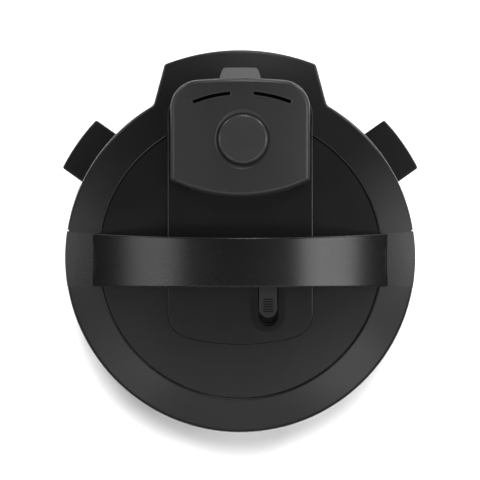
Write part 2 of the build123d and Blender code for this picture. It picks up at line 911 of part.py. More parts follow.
def lid_liner():
    """Ring under the lid's edge that closes the shell and guides the lock ring."""
    inner = lock_ring_radius + 1.0
    outer = lid_radius - lid_wall
    return polygon_turned([
        (inner, lid_low + 1),
        (outer, lid_low + 1),
        (outer, lid_low + 3.5),
        (inner + 2, lid_low + 3.5),
        (inner + 2, lock_top + 2),
        (inner, lock_top + 2),
    ])


def lid_hinge_bracket():
    """Bracket under the rear extension with the two moving knuckles."""
    roof = roof_height(hinge_y + 8) - lid_wall
    half = lid_knuckle_end + 4
    low = roof - bracket_depth
    bracket = block(-half, half, hinge_y - 14, hinge_y + 8, low, ring_top) & lid_form(lid_wall)
    for x0, x1 in both_sides((lid_knuckle_start, lid_knuckle_end)):
        bracket += block(x0, x1, hinge_y - 7, hinge_y + 5, hinge_z, low + 1)
        bracket += rod_x(knuckle_radius, x0, x1, hinge_y, hinge_z)
    bore = hinge_pin_radius + hinge_fit
    bracket -= rod_x(bore, -hinge_pin_half, hinge_pin_half, hinge_y, hinge_z)
    for x in (-bracket_screw_spacing / 2, bracket_screw_spacing / 2):
        bracket -= tube(screw_radius, 0, low - 1, roof, x, hinge_y - 5)
    return bracket


def lid_hinge_screws():
    """Screws that hold the lid's bracket."""
    roof = roof_height(hinge_y + 8) - lid_wall
    half = bracket_screw_spacing / 2
    seat = roof - bracket_depth
    return Compound(children=[screw(seat, roof, x, hinge_y - 5) for x in (-half, half)])


# ---------------------------------------------------------------- pressure plate and lock
def pressure_plate():
    """Pressed plate that seals the pot."""
    outer = pot_radius + pot_rim_width + 1.5
    inner = outer - 1.9
    step = pot_radius - 14.0
    plate = polygon_turned([
        (0, plate_low + 4.5),
        (step, plate_low + 4.5),
        (step + 5, plate_low),
        (inner, plate_low),
        (inner, plate_low - 4.5),
        (outer, plate_low - 4.5),
        (outer, plate_low + 2.5),
        (step + 5, plate_low + 2.5),
        (step, plate_low + 7),
        (0, plate_low + 7),
    ])
    plate -= tube(valve_pipe_radius, 0, plate_low - 5, plate_low + 10, button_x, valve_y)
    plate -= tube(float_hole_radius, 0, plate_low - 5, plate_low + 10, float_x, valve_y)
    return plate


def sealing_ring():
    """Silicone gasket in the plate's edge."""
    outer = pot_radius + pot_rim_width - 0.4
    ring = tube(outer, pot_radius - 6, plate_low - 5.6, plate_low)
    return fillet(ring.edges().group_by(Axis.Z)[0], 1.2)


def centre_stud():
    """Stud that hangs the pressure plate from the lid."""
    return tube(8.0, 0, plate_low + 7, disc_low)


def steam_shield():
    """Perforated cap that keeps food out of the steam valve."""
    top = plate_low + 4.5
    cap = tube(12.0, 10.5, top - 9, top, button_x, valve_y)
    cap += tube(12.0, 0, top - 10.5, top - 9, button_x, valve_y)
    for index in range(6):
        angle = math.radians(index * 60)
        x = button_x + 7 * math.cos(angle)
        y = valve_y + 7 * math.sin(angle)
        cap -= tube(1.2, 0, top - 12, top - 8, x, y)
    return cap


def lock_ring():
    """Turning steel ring with the lid's half of the bayonet."""
    tooth_top = flange_low - lock_play
    tooth_low = tooth_top - lock_tooth_thickness
    inner = lock_ring_radius - lock_ring_wall
    ring = tube(lock_ring_radius, inner, tooth_low, lock_top)
    ring += tube(lock_ring_radius, lock_tooth_radius + 2, lock_top - 2, lock_top)
    pitch = 360.0 / tooth_count
    for index in range(tooth_count):
        angle = (index + 0.5) * pitch
        ring += sector(lock_ring_radius, lock_tooth_radius, tooth_low, tooth_top, angle, tooth_angle)
    return ring


def lock_arm():
    """Arm from the lock ring to the pin that the slider pushes."""
    lean = math.degrees(math.asin(slider_travel / 2 / lock_offset))
    arm = block(lock_offset - 6, lock_ring_radius - 2, -6, 6, lock_top, lock_top + 3)
    arm += tube(2.5, 0, lock_top + 2, disc_low - 5.3, lock_offset, 0)
    return Rot(0, 0, lean) * arm


def lock_link():
    """Flat link from the slider to the lock arm's pin."""
    top = disc_low - 1.5
    low = top - 2.5
    rear = slider_travel / 2 + 8
    link = block(slider_x - 6, slider_x + 6, -slider_front + 6, rear, low, top)
    pin_y = slider_travel / 2
    return link - block(slider_x - 3.5, slider_x + 3.5, pin_y - 2.8, pin_y + 2.8, low - 1, top + 1)


def slider():
    """Ribbed thumb slider with its neck down to the link."""
    top = crown_z + panel_lift + bezel_lift + 1.2
    base = crown_z + 0.6
    half = slider_width / 2
    front = -slider_front
    rear = front + slider_length
    body = stadium(half, front, rear, base, top, slider_x)
    for index in range(6):
        y = front + 5.0 + index * rib_pitch
        body -= block(slider_x - half + 4, slider_x + half - 4, y, y + rib_groove, top - rib_depth, top + 1)
    body += block(slider_x - 4, slider_x + 4, front + 10, front + 24, disc_low - 1.5, base + 0.5)
    return body


# ---------------------------------------------------------------- valve chamber
def valve_tray():
    """Tray in the well that catches steam and carries the valves."""
    top = crown_z + panel_lift - 6.5
    tray = well_block(0.2, tray_low, top)
    tray -= well_block(0.2 + tray_wall, tray_low + tray_wall, top + 1)
    floor = tray_low + tray_wall
    tray += tube(10.0, 6.2, floor, floor + 17, button_x, button_y)
    tray -= block(button_x - 5.5, button_x + 5.5, button_y - 12, button_y + 3, floor + 5, floor + 18)
    for x in (-11.0, 9.0):
        ear = button_x + x
        tray += block(ear, ear + 2, lever_pivot_y - 3, lever_pivot_y + 3, floor, floor + 15.5)
    tray -= rod_x(lever_pin_radius, button_x - 12, button_x + 12, lever_pivot_y, lever_z())
    tray -= tube(valve_pipe_radius + 0.3, 0, tray_low - 1, floor + 1, button_x, valve_y)
    tray -= tube(float_hole_radius, 0, tray_low - 1, floor + 1, float_x, valve_y)
    return tray


def lever_z():
    """Height of the release lever's pivot."""
    return tray_low + tray_wall + 12.2


def steam_pipe():
    """Valve seat pipe from the pressure plate up into the tray."""
    plate_top = plate_low + 7
    pipe = tube(valve_pipe_radius, 2.0, plate_low + 1, tray_low + 12, button_x, valve_y)
    return pipe + tube(9.0, valve_pipe_radius, plate_top, plate_top + 3, button_x, valve_y)


def valve_weight():
    """Pressure weight that sits on the steam pipe."""
    low = tray_low + 4
    seat = tray_low + 12.3
    head_low = lever_z() + 1.8
    body = tube(6.5, 0, low, head_low + 1, button_x, valve_y)
    head = tube(9.0, 0, head_low, head_low + 9, button_x, valve_y)
    head = fillet(head.edges().group_by(Axis.Z)[-1], 2.0)
    body += head
    return body - tube(valve_pipe_radius + 0.4, 0, low - 1, seat, button_x, valve_y)


def release_lever():
    """Rocker between the steam button and the weight."""
    z = lever_z()
    half = lever_half_width
    bar = block(button_x - half, button_x + half, lever_pivot_y, button_y + 1.5, z - 1, z + 1)
    bar += rod_x(2.4, button_x - 8, button_x + 8, lever_pivot_y, z)
    for side in (-1, 1):
        x0 = button_x + side * 7.2
        x1 = button_x + side * 8.8
        bar += block(min(x0, x1), max(x0, x1), valve_y - 2, lever_pivot_y, z - 1, z + 1)
    bore = lever_pin_radius + hinge_fit
    return bar - rod_x(bore, button_x - 12, button_x + 12, lever_pivot_y, z)


def lever_pin():
    """Pin through the release lever and the tray's ears."""
    return rod_x(lever_pin_radius, button_x - 11, button_x + 11, lever_pivot_y, lever_z())


def steam_button():
    """Large domed push button that opens the steam valve."""
    top = cover_top + button_proud
    low = cover_top - 8.0
    ball_radius = (button_radius**2 + button_crown**2) / (2 * button_crown)
    dome = tube(button_radius, 0, low, top + button_crown + 1) & ball(ball_radius, top + button_crown)
    arcs = dome.edges().filter_by(GeomType.CIRCLE)
    dome = fillet(arcs.filter_by(lambda edge: edge.center().Z > low + 1), button_edge)
    dome -= tube(button_radius - 2.0, 0, low - 1, top - 2.0)
    dome += tube(5.0, 0, tray_low + 22, top - 1.0)
    dome += tube(1.5, 0, lever_z() + 1.6, tray_low + 23)
    return Pos(button_x, button_y, 0) * dome


def button_spring():
    """Return spring under the steam button."""
    low = tray_low + tray_wall + 17.3
    return Pos(button_x, button_y, 0) * coil(7.6, 1.2, low, cover_top - 1.4, 5)


def float_valve():
    """Float pin that rises under pressure and blocks the lock."""
    pin = tube(float_pin_radius, 0, plate_low - 3, tray_low + 8, float_x, valve_y)
    pin += tube(5.5, 0, plate_low - 3, plate_low - 2, float_x, valve_y)
    return pin + tube(5.0, 0, plate_low + 7.3, plate_low + 9.3, float_x, valve_y)


def float_seal():
    """Silicone seal on the float pin."""
    return tube(5.5, float_pin_radius, plate_low - 2, plate_low, float_x, valve_y)


# ---------------------------------------------------------------- steam cover
def cover_plan():
    """Outline of the steam cover, seen from above."""
    half = cover_half_width
    front_side = cover_front + cover_front_sag
    rear_side = cover_rear - cover_rear_sag
    outline = Wire([
        ThreePointArc((-half, front_side), (0, cover_front), (half, front_side)),
        Line((half, front_side), (half, rear_side)),
        ThreePointArc((half, rear_side), (0, cover_rear), (-half, rear_side)),
        Line((-half, rear_side), (-half, front_side)),
    ])
    plan = make_face(outline)
    plan = fillet(plan.vertices().sort_by(Axis.Y)[-2:], cover_rear_corner)
    return fillet(plan.vertices().sort_by(Axis.Y)[:2], cover_front_corner)


def crowned_bar(top):
    """A wide cylinder along Y, whose highest line is at top, for the cover's crown."""
    bar = Rot(90, 0, 0) * Cylinder(cover_crown_radius, 500)
    return Pos(0, cover_front, top - cover_crown_radius) * bar


def cover_tab():
    """Finger tab at the rear of the steam cover, sloping down to the rear."""
    tip_y = cover_rear + tab_length
    plan = make_face(Wire([
        Line((-tab_base, cover_rear - 6), (tab_base, cover_rear - 6)),
        Line((tab_base, cover_rear - 6), (tab_tip, tip_y)),
        Line((tab_tip, tip_y), (-tab_tip, tip_y)),
        Line((-tab_tip, tip_y), (-tab_base, cover_rear - 6)),
    ]))
    plan = fillet(plan.vertices().sort_by(Axis.Y)[-2:], tab_corner)
    tab = Pos(0, 0, cover_top - 12) * extrude(plan, 10)
    slope = Plane.YZ * make_face(Polyline(
        (cover_rear - 3, cover_top - 2),
        (tip_y + 2, cover_top - 9),
        (tip_y + 2, cover_top + 5),
        (cover_rear - 3, cover_top + 5),
        close=True,
    ))
    return tab - extrude(slope, tab_base * 2, both=True)


def valve_cover():
    """Lift-off plate over the valve chamber, with two steam slots and a finger tab."""
    low = crown_z + panel_lift - 10.0
    body = Pos(0, 0, low) * extrude(cover_plan(), cover_top - low)
    body &= crowned_bar(cover_top)
    body = fillet(body.faces().sort_by(Axis.Z)[-1].outer_wire().edges(), cover_edge)
    body += cover_tab()
    body -= dome_solid(panel_lift + cover_gap, lid_radius + 30, low - 20)
    half = cover_half_width - cover_border
    inside = block(-half, half, well_front - 2, well_rear + 20, low - 1, cover_top)
    body -= inside & crowned_bar(cover_top - cover_wall)
    body -= tube(button_radius + button_gap, 0, low, cover_top + 1, button_x, button_y)
    centred = (Align.CENTER, Align.CENTER, Align.MIN)
    dish = Cone(button_radius + button_gap, button_radius + dish_width, dish_depth, align=centred)
    body -= Pos(button_x, button_y, cover_top - dish_depth) * dish
    for side in (-1, 1):
        body -= Pos(vent_centre_x, 0, cover_top - 10) * extrude(vent_slot(side), 12)
    return body


def vent_slot(side):
    """Outline of one curved steam slot, on the left (-1) or the right (1)."""
    start = 90 - side * vent_start_angle
    end = 90 - side * vent_end_angle
    points = []
    for angle in (start, (start + end) / 2, end):
        turn = math.radians(angle)
        points.append((vent_radius * math.cos(turn), vent_centre_y + vent_radius * math.sin(turn)))
    return SlotArc(ThreePointArc(*points), vent_width)


# ---------------------------------------------------------------- band handle
def band_plan():
    """Outline of the band handle, seen from above."""
    end = lid_radius + 5
    return make_face(Wire([
        Line((-end, -band_front), (end, -band_front)),
        Line((end, -band_front), (end, band_rear_end)),
        ThreePointArc((end, band_rear_end), (0, band_rear_middle), (-end, band_rear_end)),
        Line((-end, band_rear_end), (-end, -band_front)),
    ]))


def arch_bar(radius):
    """A cylinder along Y that the band's arch follows."""
    bar = Cylinder(radius, 200)
    return Pos(0, 0, band_centre_z) * (Rot(90, 0, 0) * bar)


def handle_band():
    """Outer band of the handle, arched over the lid, with feet let into the ring."""
    reach = band_shoulder + 6.0
    body = Pos(0, 0, lid_low) * extrude(band_plan(), 200)
    body &= block(-reach, reach, -100, 100, lid_low, 400)
    body &= arch_bar(band_arch_radius)
    upper = body.faces().filter_by(is_on_arch).sort_by(SortBy.AREA)[-1]
    long_edges = upper.outer_wire().edges().filter_by(lambda edge: edge.length > band_shoulder)
    body = fillet(long_edges, band_edge)
    body -= arch_bar(band_arch_radius - band_thickness)
    body -= lid_form(0)
    feet = foot_region() & tube(lid_radius, 0, lid_low, 400)
    feet &= roof_ball(-band_foot_proud)
    body += feet - roof_ball(band_foot_depth)
    slit = band_slit_width / 2
    slit_low = band_shoulder_z - 1.2
    for x in (-band_shoulder, band_shoulder):
        body -= block(x - slit, x + slit, -band_slit_front, band_slit_rear, slit_low, 400)
    for x, y in band_screw_spots():
        body -= tube(screw_radius, 0, ring_top - 20, foot_screw_top(), x, y)
    return body


def foot_screw_top():
    """Height that the handle's screws reach inside the feet."""
    return roof_height(lid_radius - handle_screw_inset) - 0.6


def is_on_arch(face):
    """Whether a face is part of the arch's outer surface."""
    middle = face.position_at(0.5, 0.5)
    reach = math.hypot(middle.X, middle.Z - band_centre_z)
    return abs(reach - band_arch_radius) < 0.05


def handle_core():
    """Load-bearing inner bar of the handle."""
    outer = arch_bar(band_arch_radius - band_thickness)
    body = outer - arch_bar(band_arch_radius - band_thickness - band_core_thickness)
    inset = band_core_inset
    front = -band_front + inset
    rear = band_rear_middle - inset
    body &= block(-lid_radius, lid_radius, front, rear, ring_top - 8, 400)
    body -= lid_outside()
    body -= dome_solid(0, disc_radius, lid_low)
    for x, y in band_screw_spots():
        body -= tube(screw_radius, 0, ring_top - 20, band_top, x, y)
    return body


def handle_screws():
    """Four screws from inside the lid into the band."""
    end = foot_screw_top()
    return Compound(children=[screw(handle_screw_seat, end, x, y) for x, y in band_screw_spots()])


# ---------------------------------------------------------------- build and write
def all_parts():
    """Every node's name and its solid."""
    parts = {
        "inner_pot": inner_pot(),
        "support_pot": support_pot(),
        "heating_plate": heating_plate(),
        "temperature_sensor": temperature_sensor(),
        "sensor_spring": sensor_spring(),
        "pressure_switch": pressure_switch(),
        "thermal_fuse": thermal_fuse(),
        "base_pan": base_pan(),
        "outer_housing": outer_housing(),
        "top_rim": top_rim(),
        "rear_housing": rear_housing(),
        "power_inlet": power_inlet(),
        "inlet_pins": inlet_pins(),
        "condensation_cup": condensation_cup(),
        "hinge_bracket": hinge_bracket(),
        "hinge_pin": hinge_pin(),
        "hinge_springs": hinge_springs(),
        "left_carry_handle": carry_handle("left"),
        "right_carry_handle": carry_handle("right"),
        "casing_screws": casing_screws(),
        "control_panel": control_panel(),
        "display_window": display_window(),
        "display_module": display_module(),
        "control_board": control_board(),
        "power_board": power_board(),
        "lid_cover": lid_cover(),
        "top_disc": top_disc(),
        "spine_panel": spine_panel(),
        "slider_bezel": slider_bezel(),
        "lid_liner": lid_liner(),
        "lid_hinge_bracket": lid_hinge_bracket(),
        "lid_hinge_screws": lid_hinge_screws(),
        "pressure_plate": pressure_plate(),
        "sealing_ring": sealing_ring(),
        "centre_stud": centre_stud(),
        "steam_shield": steam_shield(),
        "lock_ring": lock_ring(),
        "lock_arm": lock_arm(),
        "lock_link": lock_link(),
        "slider": slider(),
        "valve_tray": valve_tray(),
        "steam_pipe": steam_pipe(),
        "valve_weight": valve_weight(),
        "release_lever": release_lever(),
        "lever_pin": lever_pin(),
        "steam_button": steam_button(),
        "button_spring": button_spring(),
        "float_valve": float_valve(),
        "float_seal": float_seal(),
        "valve_cover": valve_cover(),
        "handle_band": handle_band(),
        "handle_core": handle_core(),
        "handle_screws": handle_screws(),
    }
    for name, x, z in key_places():
        parts[name] = panel_key(x, z)
    return parts


os.makedirs("parts", exist_ok=True)
for node_name, shape in all_parts().items():
    export_step(shape, f"parts/{node_name}.step")
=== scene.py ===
import bpy
import json
import math
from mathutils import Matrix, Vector

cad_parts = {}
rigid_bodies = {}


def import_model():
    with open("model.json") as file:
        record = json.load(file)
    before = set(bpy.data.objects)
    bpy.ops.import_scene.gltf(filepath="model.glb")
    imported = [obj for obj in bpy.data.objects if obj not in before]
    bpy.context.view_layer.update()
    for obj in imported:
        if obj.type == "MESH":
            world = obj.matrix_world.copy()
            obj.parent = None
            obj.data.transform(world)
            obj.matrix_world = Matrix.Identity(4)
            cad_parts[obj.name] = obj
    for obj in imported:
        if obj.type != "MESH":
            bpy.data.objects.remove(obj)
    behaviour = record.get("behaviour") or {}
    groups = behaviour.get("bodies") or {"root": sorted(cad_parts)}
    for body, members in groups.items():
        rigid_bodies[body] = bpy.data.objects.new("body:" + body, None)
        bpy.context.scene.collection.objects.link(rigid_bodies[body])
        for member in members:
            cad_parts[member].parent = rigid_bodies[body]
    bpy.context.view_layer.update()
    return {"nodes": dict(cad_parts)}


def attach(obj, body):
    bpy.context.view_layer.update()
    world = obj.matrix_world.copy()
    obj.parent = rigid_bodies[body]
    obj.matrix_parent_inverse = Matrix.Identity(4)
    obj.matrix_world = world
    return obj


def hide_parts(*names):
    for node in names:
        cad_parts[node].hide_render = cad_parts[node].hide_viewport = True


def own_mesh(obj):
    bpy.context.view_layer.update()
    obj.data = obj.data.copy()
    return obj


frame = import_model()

nodes = frame["nodes"]


# ---------------------------------------------------------------- casing plastic
# The casing, rim, lugs and lid are injection-moulded black polypropylene and ABS.
# The tool's faces are spark-eroded, which leaves a fine even grain with a soft sheen.
class Shade:
    """One shader socket, with arithmetic that adds Math nodes."""

    def __init__(self, tree, socket=None):
        self.tree = tree
        self.socket = socket

    def node(self, kind, settings=None, values=None, out=0):
        """Adds a node: its settings are set first, then its sockets' values or links."""
        made = self.tree.nodes.new(kind)
        for key, value in (settings or {}).items():
            if key == "stops":
                while len(made.color_ramp.elements) < len(value):
                    made.color_ramp.elements.new(0.5)
                for element, (place, colour) in zip(made.color_ramp.elements, value):
                    element.position = place
                    element.color = colour
            else:
                setattr(made, key, value)
        for key, value in (values or {}).items():
            if isinstance(value, Shade):
                self.tree.links.new(value.socket, made.inputs[key])
            else:
                made.inputs[key].default_value = value
        return Shade(self.tree, made.outputs[out])

    def maths(self, operation, first, second=0.0):
        return self.node("ShaderNodeMath", {"operation": operation}, {0: first, 1: second})

    def __add__(self, other):
        return self.maths("ADD", self, other)

    def __radd__(self, other):
        return self.maths("ADD", other, self)

    def __sub__(self, other):
        return self.maths("SUBTRACT", self, other)

    def __rsub__(self, other):
        return self.maths("SUBTRACT", other, self)

    def __mul__(self, other):
        return self.maths("MULTIPLY", self, other)

    def __rmul__(self, other):
        return self.maths("MULTIPLY", other, self)

    def __pow__(self, other):
        return self.maths("POWER", self, other)

    def limited(self, low, high):
        """The same value, held between two limits."""
        return self.maths("MAXIMUM", self.maths("MINIMUM", self, high), low)

    def mixed(self, first, second):
        """A colour between two colours, by this value."""
        return self.node("ShaderNodeMix", {"data_type": "RGBA"}, {0: self, 6: first, 7: second}, out=2)


def start_material(name):
    """An empty material: its tree, its shader node and its Object coordinates."""
    material = bpy.data.materials.new(name)
    material.use_nodes = True
    tree = material.node_tree
    tree.nodes.clear()
    end = tree.nodes.new("ShaderNodeOutputMaterial")
    shader = tree.nodes.new("ShaderNodeBsdfPrincipled")
    tree.links.new(shader.outputs[0], end.inputs[0])
    place = Shade(tree).node("ShaderNodeTexCoord", out=3)
    return material, shader, place


def connect(shader, **values):
    """Sets or links the shader's sockets by name, with _ for a space."""
    for key, value in values.items():
        socket = shader.inputs[key.replace("_", " ")]
        if isinstance(value, Shade):
            value.tree.links.new(value.socket, socket)
        else:
            socket.default_value = value


def noise(place, scale, detail=2.0, rough=0.5, stretch=None):
    """Noise between 0 and 1 on a place, stretched along some axes if asked."""
    if stretch:
        place = place.node("ShaderNodeMapping", None, {0: place, 3: stretch})
    return place.node(
        "ShaderNodeTexNoise", None, {"Vector": place, "Scale": scale, "Detail": detail, "Roughness": rough})


def moulded(name, colour, rough, grain=0.5, scuff=0.25, coat=0.0, groove_level=None):
    """Moulded plastic: grain in the bump, broad flow marks and faint scuffs.

    Below groove_level, if it is given, the surface is the floor of a groove: dull, and darkened with painted
    shade.
    """
    material, shader, place = start_material(name)
    fine = noise(place, 1500.0, 3.0, 0.6)
    flow = noise(place, 14.0, 3.0, 0.55)
    cloud = noise(place, 90.0, 2.0, 0.5)
    rub = noise(place, 60.0, 5.0, 0.7, (1.0, 9.0, 4.0))
    mark = (rub - 0.62).limited(0.0, 0.1) * 10.0 * scuff
    paler = tuple(min(1.0, c * 1.55 + 0.004) for c in colour) + (1.0,)
    tone = (flow * 0.45 + cloud * 0.2 + fine * 0.2 + mark * 0.35 - 0.18).limited(0.0, 1.0)
    grain_depth = 0.00006
    bump = place.node(
        "ShaderNodeBump", None, {"Strength": grain, "Distance": grain_depth, "Height": fine + flow * 0.2})
    surface = tone.mixed(tuple(colour) + (1.0,), paler)
    dullness = 0.0
    if groove_level:
        # Painted shade: below groove_level the groove floors are darkened to near black.
        groove_painted_shade = (0.0005, 0.0005, 0.0005, 1.0)
        groove_fade = 0.00033
        height = place.node("ShaderNodeSeparateXYZ", None, {0: place}, out=2)
        groove_shade_mask = ((groove_level - height) * (1.0 / groove_fade)).limited(0.0, 1.0)
        surface = groove_shade_mask.mixed(surface, groove_painted_shade)
        dullness = groove_shade_mask * 0.5
    connect(
        shader,
        Base_Color=surface,
        Roughness=(flow * 0.1 + fine * 0.08 - mark * 0.12 + (rough - 0.09) + dullness).limited(0.05, 1.0),
        Normal=bump,
        Specular_IOR_Level=0.5,
        Coat_Weight=coat,
        Coat_Roughness=0.12,
    )
    return material


def finish_node(material, *names):
    """Gives CAD nodes their material."""
    for name in names:
        body = nodes[name]
        body.data.materials.clear()
        body.data.materials.append(material)


casing_plastic = moulded("casing_plastic", (0.0065, 0.0065, 0.0068), 0.36)
finish_node(casing_plastic, "outer_housing", "top_rim", "rear_housing", "base_pan")
lug_plastic = moulded("lug_plastic", (0.0045, 0.0045, 0.0047), 0.42)
finish_node(lug_plastic, "left_carry_handle", "right_carry_handle")


# ---------------------------------------------------------------- lid plastic
# The ring, the domed disc and the raised centre panel are separate black mouldings,
# a little smoother than the casing and snapped together from inside the lid.
lid_plastic = moulded("lid_plastic", (0.0068, 0.0068, 0.007), 0.32, grain=0.4)
finish_node(lid_plastic, "lid_cover", "top_disc", "spine_panel", "slider_bezel")


# ---------------------------------------------------------------- band handle
# The outer band is moulded in the same black with a smoother face, and is screwed
# up through the lid over a ribbed load-bearing core.
band_plastic = moulded("band_plastic", (0.009, 0.009, 0.0092), 0.27, grain=0.25, scuff=0.35)
finish_node(band_plastic, "handle_band")
core_plastic = moulded("core_plastic", (0.007, 0.007, 0.007), 0.55)
finish_node(core_plastic, "handle_core")


# ---------------------------------------------------------------- steam cover and button
# The lift-off cover, the domed button and the thumb slider are charcoal ABS with a fine
# satin grain, lighter than the lid, so that the parts to touch stand out. Painted shade
# darkens the floors of the slider's finger grooves.
cover_plastic = moulded("cover_plastic", (0.03, 0.03, 0.0305), 0.36, grain=0.35)
finish_node(cover_plastic, "valve_cover")
button_plastic = moulded("button_plastic", (0.05, 0.05, 0.051), 0.26, grain=0.2, scuff=0.4)
finish_node(button_plastic, "steam_button")
slider_groove_level = 0.2889
slider_plastic = moulded(
    "slider_plastic", (0.045, 0.045, 0.045), 0.3, grain=0.3, scuff=0.5, groove_level=slider_groove_level)
finish_node(slider_plastic, "slider")


# ---------------------------------------------------------------- lips of the steam slots
# Each curved slot in the cover has a low lip all round it, which stiffens the thin edge.
# It is given the button's paler plastic as a painted highlight along the slot's edge; it is pressed in and
# follows the cover's crown.
def open_edit(piece):
    """Makes one object active, opens it for editing and selects all of it."""
    bpy.ops.object.select_all(action="DESELECT")
    piece.select_set(True)
    bpy.context.view_layer.objects.active = piece
    bpy.ops.object.mode_set(mode="EDIT")
    bpy.ops.mesh.select_all(action="SELECT")


def apply_all(piece):
    """Applies an object's modifiers in their order."""
    bpy.ops.object.select_all(action="DESELECT")
    piece.select_set(True)
    bpy.context.view_layer.objects.active = piece
    for modifier in list(piece.modifiers):
        bpy.ops.object.modifier_apply(modifier=modifier.name)


smooth_angle = math.radians(40)
slot_lean = 13.2


def slot_lip(name, middle_angle, material):
    """A strip spun along the slot, opened in the middle, laid on the cover and thickened."""
    slot_centre = (0.0016, 0.0286, 0.32)
    slot_radius = 0.1256
    sweep = math.radians(17.3)
    outer_half = 0.0026
    lip_width = 0.0009
    lip_thickness = 0.0007
    lip_edge = 0.0002
    bpy.ops.object.select_all(action="DESELECT")
    bpy.ops.mesh.primitive_plane_add(size=2 * outer_half, location=(0, 0, 0))
    lip = bpy.context.object
    lip.name = name
    for vertex in lip.data.vertices:
        vertex.select = vertex.co.x > 0
    for edge in lip.data.edges:
        edge.select = all(lip.data.vertices[end].select for end in edge.vertices)
    for face in lip.data.polygons:
        face.select = False
    bpy.ops.object.mode_set(mode="EDIT")
    bpy.ops.mesh.select_mode(type="VERT")
    bpy.ops.mesh.delete(type="VERT")
    bpy.ops.mesh.select_all(action="SELECT")
    bpy.ops.transform.translate(value=(outer_half, slot_radius, 0.0))
    bpy.ops.mesh.spin(steps=28, angle=sweep, center=(0, 0, 0), axis=(0, 0, 1))
    bpy.ops.mesh.select_all(action="SELECT")
    bpy.ops.mesh.inset(thickness=lip_width, depth=0.0)
    bpy.ops.mesh.delete(type="FACE")
    bpy.ops.mesh.select_all(action="SELECT")
    bpy.ops.mesh.normals_make_consistent(inside=False)
    bpy.ops.object.mode_set(mode="OBJECT")
    count = len(lip.data.vertices)
    mean_x = sum(vertex.co.x for vertex in lip.data.vertices) / count
    mean_y = sum(vertex.co.y for vertex in lip.data.vertices) / count
    lip.rotation_euler.z = math.atan2(mean_x, mean_y) - math.radians(middle_angle)
    lip.location = slot_centre
    bpy.ops.object.transform_apply(location=True, rotation=True, scale=True)
    laid = lip.modifiers.new("laid", "SHRINKWRAP")
    laid.target = nodes["valve_cover"]
    laid.wrap_method = "PROJECT"
    laid.use_project_z = True
    laid.use_negative_direction = True
    laid.use_positive_direction = False
    thick = lip.modifiers.new("thick", "SOLIDIFY")
    thick.thickness = lip_thickness
    thick.offset = 0.0
    soft = lip.modifiers.new("soft", "BEVEL")
    soft.width = lip_edge
    soft.segments = 2
    apply_all(lip)
    bpy.ops.object.shade_smooth_by_angle(angle=smooth_angle)
    lip.data.materials.append(material)
    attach(lip, "steam_cover")
    return lip


# The paler plastic on both lips is a painted highlight round the slots.
slot_lip("left_slot_lip", -slot_lean, button_plastic)
slot_lip("right_slot_lip", slot_lean, button_plastic)


# ---------------------------------------------------------------- plain inner mouldings
# Hidden frames, the valve tray and the inlet are plain moulded nylon, grey-black and
# unpolished, with the swirl that the melt leaves near the gates. The link under the
# slider and the pressure weight's cap are darker.
inner_nylon = moulded("inner_nylon", (0.05, 0.05, 0.052), 0.55, grain=0.6, scuff=0.1)
finish_node(
    inner_nylon, "lid_liner", "lid_hinge_bracket", "valve_tray", "power_inlet", "pressure_switch",
    "release_lever", "display_module")
link_plastic = moulded("link_plastic", (0.004, 0.004, 0.004), 0.6, grain=0.4, scuff=0.1)
finish_node(link_plastic, "lock_link")
weight_plastic = moulded("weight_plastic", (0.02, 0.02, 0.021), 0.35, grain=0.3)
finish_node(weight_plastic, "valve_weight")


# ---------------------------------------------------------------- turned and drawn steel
# The pot, the shell, the pressure plate and the lock ring are stainless sheet, drawn
# and then brushed while they turn, so that the lines run round the axis.
def turned_metal(name, colour, rough, line_scale=700.0, stain=0.3):
    """Brushed metal whose lines run round the pot's axis."""
    material, shader, place = start_material(name)
    across = place.node("ShaderNodeSeparateXYZ", None, {0: place}, out=0)
    along = Shade(place.tree, across.socket.node.outputs[1])
    height = Shade(place.tree, across.socket.node.outputs[2])
    reach = (across * across + along * along) ** 0.5
    turn = place.maths("ARCTAN2", along, across)
    lines_at = place.node(
        "ShaderNodeCombineXYZ", None, {0: reach * line_scale, 1: height * line_scale, 2: turn * 1.2})
    lines = noise(lines_at, 3.0, 4.0, 0.7)
    cloud = noise(place, 22.0, 4.0, 0.6)
    spots = noise(place, 160.0, 2.0, 0.5)
    dull = (cloud - 0.5).limited(0.0, 0.4) * stain
    tone = (lines * 0.35 + spots * 0.15 + cloud * 0.3).limited(0.0, 1.0)
    darker = tuple(c * 0.78 for c in colour) + (1.0,)
    bump = place.node("ShaderNodeBump", None, {"Strength": 0.5, "Distance": 0.00003, "Height": lines})
    connect(
        shader,
        Base_Color=tone.mixed(darker, tuple(colour) + (1.0,)),
        Metallic=1.0,
        Roughness=(lines * 0.14 + dull + (rough - 0.07)).limited(0.05, 1.0),
        Normal=bump,
    )
    return material


pot_steel = turned_metal("pot_steel", (0.62, 0.61, 0.6), 0.24, stain=0.25)
finish_node(pot_steel, "inner_pot")
shell_steel = turned_metal("shell_steel", (0.55, 0.55, 0.55), 0.3, stain=0.5)
finish_node(shell_steel, "support_pot", "lock_ring", "lock_arm")
plate_steel = turned_metal("plate_steel", (0.6, 0.6, 0.6), 0.2, line_scale=500.0)
finish_node(plate_steel, "pressure_plate", "centre_stud", "steam_shield")
hinge_steel = turned_metal("hinge_steel", (0.5, 0.5, 0.51), 0.36, stain=0.6)
finish_node(
    hinge_steel, "hinge_bracket", "hinge_pin", "lever_pin", "thermal_fuse", "steam_pipe", "float_valve")


